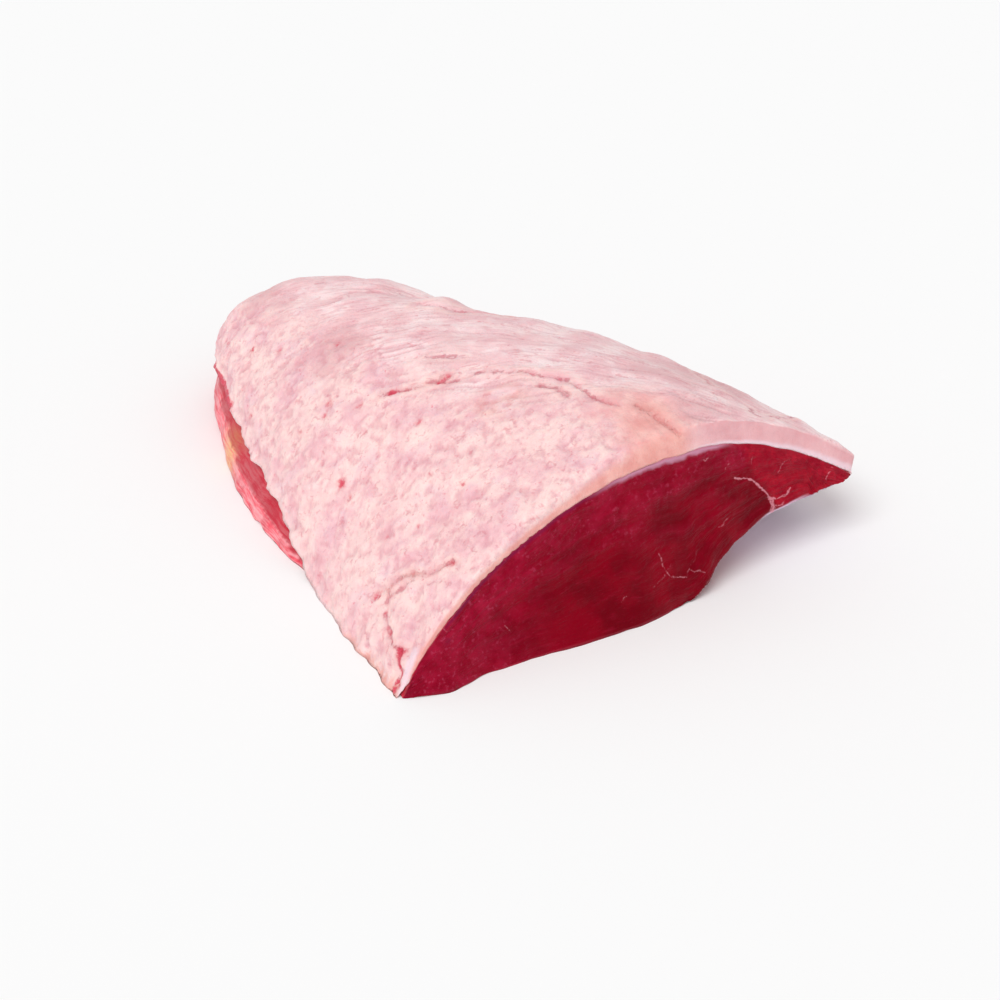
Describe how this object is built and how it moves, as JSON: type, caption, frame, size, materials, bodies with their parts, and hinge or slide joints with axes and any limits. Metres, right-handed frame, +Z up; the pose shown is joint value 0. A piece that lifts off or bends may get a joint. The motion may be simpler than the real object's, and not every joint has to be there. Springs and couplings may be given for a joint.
{
  "type": "raw beef roasting joint",
  "caption": "Raw beef roasting joint, a rump cap: a dark red lean muscle under a thick fat cap, cut square at one end and rounded at the other",
  "frame": {"origin": "the middle of the joint's box, on the surface it lies on", "axes": "+Z up through the fat cap, +Y from the cut end to the rounded far end, +X across the cut end toward its raised tip"},
  "size_m": [0.1998, 0.254, 0.064],
  "materials": {
    "fat": "raw beef fat: pale pink, moist, finely lumpy, with small red spots",
    "lean": "raw beef lean: dark red, wet, with fine fibres and a few white lines of marbling"
  },
  "bodies": {
    "root": {"fat_cap": "fat", "lean_muscle": "lean"}
  },
  "joints": []
}
